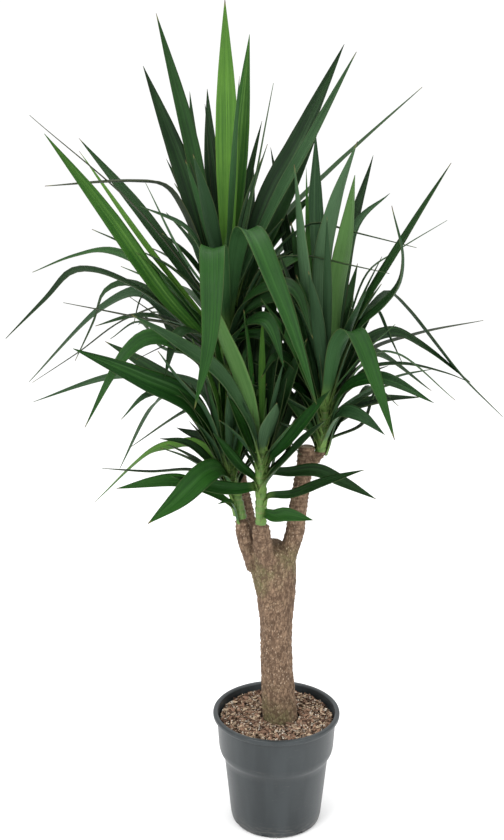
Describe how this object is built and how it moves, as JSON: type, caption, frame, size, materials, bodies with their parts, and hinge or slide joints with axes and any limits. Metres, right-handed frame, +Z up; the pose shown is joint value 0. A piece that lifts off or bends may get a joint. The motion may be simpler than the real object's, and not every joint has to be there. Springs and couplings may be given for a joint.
{
  "type": "potted yucca",
  "caption": "Branching potted yucca: bark-covered trunk carrying rosettes of long pointed strap leaves, in a round dark grey nursery pot topped with bark chips",
  "frame": {"origin": "on the floor, at the centre of the underside of the nursery pot", "axes": "+Z up along the pot's axis, +X to the right of the plant seen from its front, +Y towards its back"},
  "size_m": [0.9331, 0.62, 1.4983],
  "materials": {
    "pot_plastic": "satin moulded polypropylene, dark grey",
    "potting_mix": "bark chips, pumice and fine compost",
    "bark": "rough fissured bark with leaf-scar rings",
    "green_stem": "smooth living stem and young folded leaves",
    "leaf_deep": "satin dark green leaf with paler underside",
    "leaf_mid": "satin mid green leaf with parallel veins",
    "leaf_grey": "bloomed grey-green leaf",
    "leaf_bright": "bright yellow-green young leaf"
  },
  "bodies": {
    "root": {"front_leaf_01": "leaf_bright", "front_leaf_02": "leaf_bright", "front_leaf_03": "leaf_grey", "front_leaf_04": "leaf_grey", "front_leaf_05": "leaf_mid", "front_leaf_06": "leaf_deep", "front_leaf_07": "leaf_deep", "front_leaf_08": "leaf_deep", "front_leaf_09": "leaf_mid", "front_leaf_10": "leaf_mid", "front_shoot": "green_stem", "left_leaf_01": "leaf_mid", "left_leaf_02": "leaf_mid", "left_leaf_03": "leaf_deep", "left_leaf_04": "leaf_deep", "left_leaf_05": "leaf_grey", "left_leaf_06": "leaf_bright", "left_leaf_07": "leaf_mid", "left_leaf_08": "leaf_mid", "left_leaf_09": "leaf_grey", "left_leaf_10": "leaf_mid", "left_shoot": "green_stem", "nursery_pot": "pot_plastic", "potting_mix": "potting_mix", "right_leaf_01": "leaf_deep", "right_leaf_02": "leaf_deep", "right_leaf_03": "leaf_deep", "right_leaf_04": "leaf_deep", "right_leaf_05": "leaf_deep", "right_leaf_06": "leaf_mid", "right_leaf_07": "leaf_mid", "right_leaf_08": "leaf_deep", "right_leaf_09": "leaf_grey", "right_leaf_10": "leaf_deep", "right_leaf_11": "leaf_bright", "right_leaf_12": "leaf_grey", "right_leaf_13": "leaf_grey", "right_leaf_14": "leaf_grey", "right_leaf_15": "leaf_deep", "right_leaf_16": "leaf_mid", "right_shoot": "green_stem", "top_leaf_01": "leaf_bright", "top_leaf_02": "leaf_bright", "top_leaf_03": "leaf_deep", "top_leaf_04": "leaf_deep", "top_leaf_05": "leaf_bright", "top_leaf_06": "leaf_deep", "top_leaf_07": "leaf_deep", "top_leaf_08": "leaf_deep", "top_leaf_09": "leaf_deep", "top_leaf_10": "leaf_grey", "top_leaf_11": "leaf_mid", "top_leaf_12": "leaf_mid", "top_leaf_13": "leaf_mid", "top_leaf_14": "leaf_deep", "top_leaf_15": "leaf_grey", "top_leaf_16": "leaf_deep", "top_leaf_17": "leaf_mid", "top_shoot": "green_stem", "trunk": "bark"}
  },
  "joints": []
}
